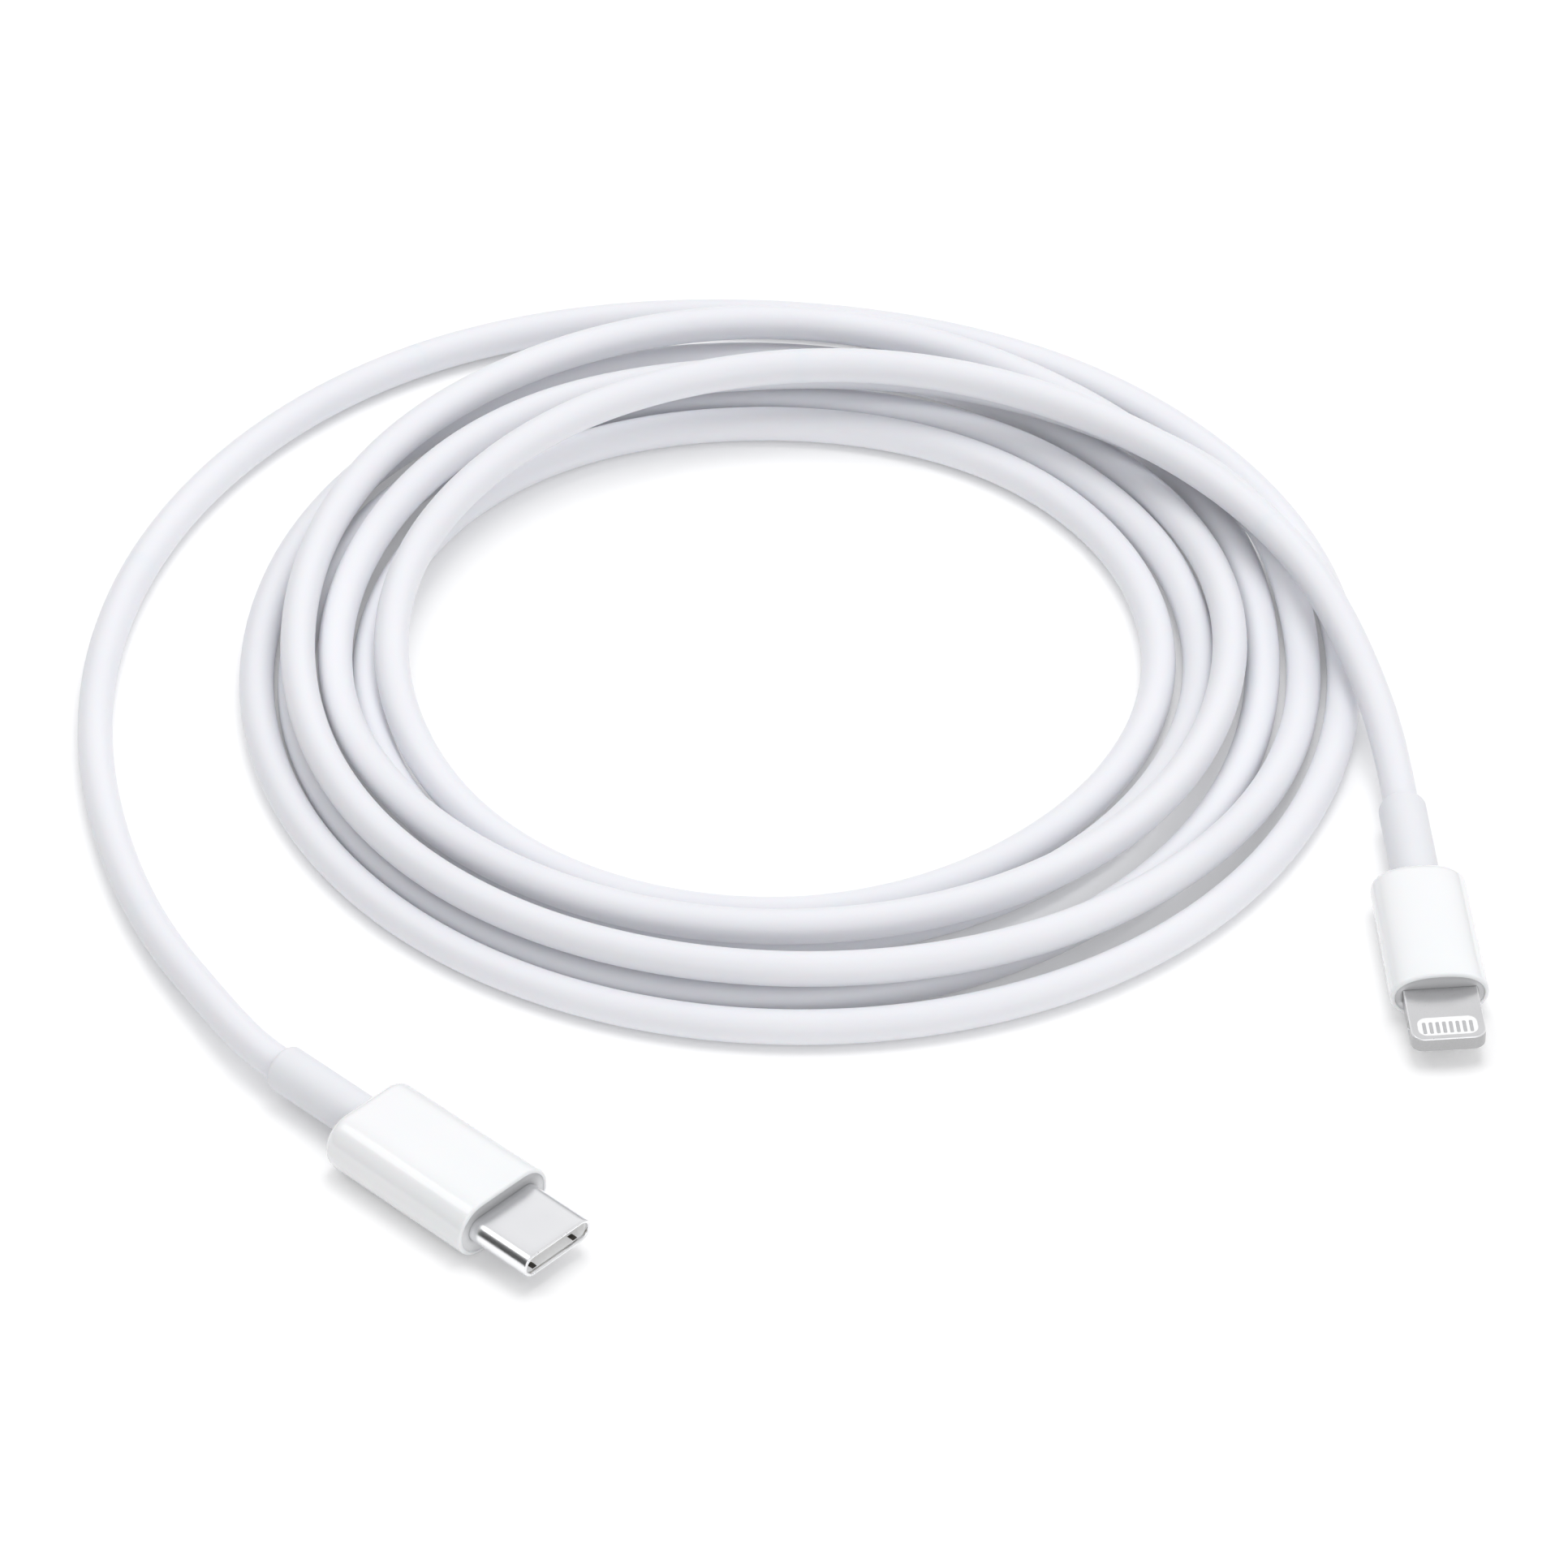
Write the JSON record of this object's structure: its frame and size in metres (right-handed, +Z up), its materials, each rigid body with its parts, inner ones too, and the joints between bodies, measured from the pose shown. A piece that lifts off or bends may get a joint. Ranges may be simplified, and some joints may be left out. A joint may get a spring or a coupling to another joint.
{
  "type": "charging cable",
  "caption": "White round charging cable coiled flat, with a moulded USB-C plug on one end and a flat steel tab plug with contact pads on the other.",
  "frame": {"origin": "middle of the whole coiled cable's footprint, on the floor it lies on", "axes": "+Z up from the floor; +Y across the coil, away from the two plugs; +X from the USB-C plug's side of the coil to the other plug's side"},
  "size_m": [0.1274, 0.137, 0.0102],
  "materials": {
    "cable_jacket": "satin, soft-touch",
    "cable_braid": "bare copper braid",
    "sleeve": "satin",
    "boot": "gloss",
    "insulator": "satin",
    "shield_can": "tin-plated, satin",
    "circuit_board": "solder mask, satin",
    "chip": "matt",
    "wire_red": "satin",
    "wire_black": "satin",
    "wire_green": "satin",
    "wire_white": "satin",
    "steel": "satin-polished",
    "spring_steel": "satin",
    "contact": "plated, satin"
  },
  "bodies": {
    "coil": {"coil_jacket": "cable_jacket", "coil_core": "cable_braid"},
    "usb_c_tail": {"usb_c_tail_jacket": "cable_jacket", "usb_c_tail_core": "cable_braid"},
    "usb_c_lead": {"usb_c_lead_jacket": "cable_jacket", "usb_c_lead_core": "cable_braid"},
    "eight_pin_tail": {"eight_pin_tail_jacket": "cable_jacket", "eight_pin_tail_core": "cable_braid"},
    "latch_left": {"usb_c_latch_left": "spring_steel"},
    "latch_right": {"usb_c_latch_right": "spring_steel"},
    "contacts_upper": {"usb_c_contact_upper_1": "contact", "usb_c_contact_upper_2": "contact", "usb_c_contact_upper_3": "contact", "usb_c_contact_upper_4": "contact"},
    "contacts_lower": {"usb_c_contact_lower_1": "contact", "usb_c_contact_lower_2": "contact", "usb_c_contact_lower_3": "contact", "usb_c_contact_lower_4": "contact"},
    "usb_c_plug": {"usb_c_sleeve": "sleeve", "usb_c_end_jacket": "cable_jacket", "usb_c_boot": "boot", "usb_c_inner_mould": "insulator", "usb_c_shield_can": "shield_can", "usb_c_board": "circuit_board", "usb_c_controller_chip": "chip", "usb_c_power_wire": "wire_red", "usb_c_ground_wire": "wire_black", "usb_c_data_plus_wire": "wire_green", "usb_c_data_minus_wire": "wire_white", "usb_c_shell": "steel", "usb_c_contact_carrier": "insulator"},
    "eight_pin_plug": {"eight_pin_sleeve": "sleeve", "eight_pin_end_jacket": "cable_jacket", "eight_pin_boot": "boot", "eight_pin_inner_mould": "insulator", "eight_pin_shield_can": "shield_can", "eight_pin_board": "circuit_board", "eight_pin_identity_chip": "chip", "eight_pin_power_wire": "wire_red", "eight_pin_ground_wire": "wire_black", "eight_pin_data_plus_wire": "wire_green", "eight_pin_data_minus_wire": "wire_white", "eight_pin_tab": "steel", "eight_pin_insulator": "insulator", "eight_pin_contact_top_1": "contact", "eight_pin_contact_bottom_1": "contact", "eight_pin_contact_top_2": "contact", "eight_pin_contact_bottom_2": "contact", "eight_pin_contact_top_3": "contact", "eight_pin_contact_bottom_3": "contact", "eight_pin_contact_top_4": "contact", "eight_pin_contact_bottom_4": "contact", "eight_pin_contact_top_5": "contact", "eight_pin_contact_bottom_5": "contact", "eight_pin_contact_top_6": "contact", "eight_pin_contact_bottom_6": "contact", "eight_pin_contact_top_7": "contact", "eight_pin_contact_bottom_7": "contact", "eight_pin_contact_top_8": "contact", "eight_pin_contact_bottom_8": "contact"}
  },
  "joints": [
    {"name": "usb_c_tail_swing", "type": "hinge", "parent": "coil", "child": "usb_c_tail", "pos_m": [-0.04577, 0.05099, 0.0016], "axis": [0, 0, 1], "range_deg": [-40, 8]},
    {"name": "usb_c_lead_lift", "type": "hinge", "parent": "usb_c_tail", "child": "usb_c_lead", "pos_m": [-0.06212, 0.00337, 0.0016], "axis": [-0.997, -0.0779, 0], "range_deg": [0, 45]},
    {"name": "usb_c_plug_bend", "type": "hinge", "parent": "usb_c_lead", "child": "usb_c_plug", "pos_m": [-0.04394, -0.04137, 0.00285], "axis": [0, 0, 1], "range_deg": [-30, 30]},
    {"name": "usb_c_latch_left_flex", "type": "hinge", "parent": "usb_c_plug", "child": "latch_left", "pos_m": [-0.02355, -0.05652, 0.00285], "axis": [0, 0, 1], "range_deg": [0, 1.2]},
    {"name": "usb_c_latch_right_flex", "type": "hinge", "parent": "usb_c_plug", "child": "latch_right", "pos_m": [-0.02798, -0.06114, 0.00285], "axis": [0, 0, -1], "range_deg": [0, 1.2]},
    {"name": "usb_c_contacts_upper_flex", "type": "hinge", "parent": "usb_c_plug", "child": "contacts_upper", "pos_m": [-0.0262, -0.05842, 0.00325], "axis": [-0.6928, -0.7212, 0], "range_deg": [0, 1]},
    {"name": "usb_c_contacts_lower_flex", "type": "hinge", "parent": "usb_c_plug", "child": "contacts_lower", "pos_m": [-0.0262, -0.05842, 0.00246], "axis": [0.6928, 0.7212, 0], "range_deg": [0, 1]},
    {"name": "eight_pin_tail_lift", "type": "hinge", "parent": "coil", "child": "eight_pin_tail", "pos_m": [0.0171, 0.04887, 0.00864], "axis": [-0.2881, -0.9576, 0], "range_deg": [0, 35]},
    {"name": "eight_pin_plug_bend", "type": "hinge", "parent": "eight_pin_tail", "child": "eight_pin_plug", "pos_m": [0.05682, -0.00563, 0.00255], "axis": [0, 0, 1], "range_deg": [-25, 25]}
  ],
  "couplings": [
    {"joint": "usb_c_latch_right_flex", "follows": "usb_c_latch_left_flex", "ratio": 1},
    {"joint": "usb_c_contacts_lower_flex", "follows": "usb_c_contacts_upper_flex", "ratio": 1}
  ]
}
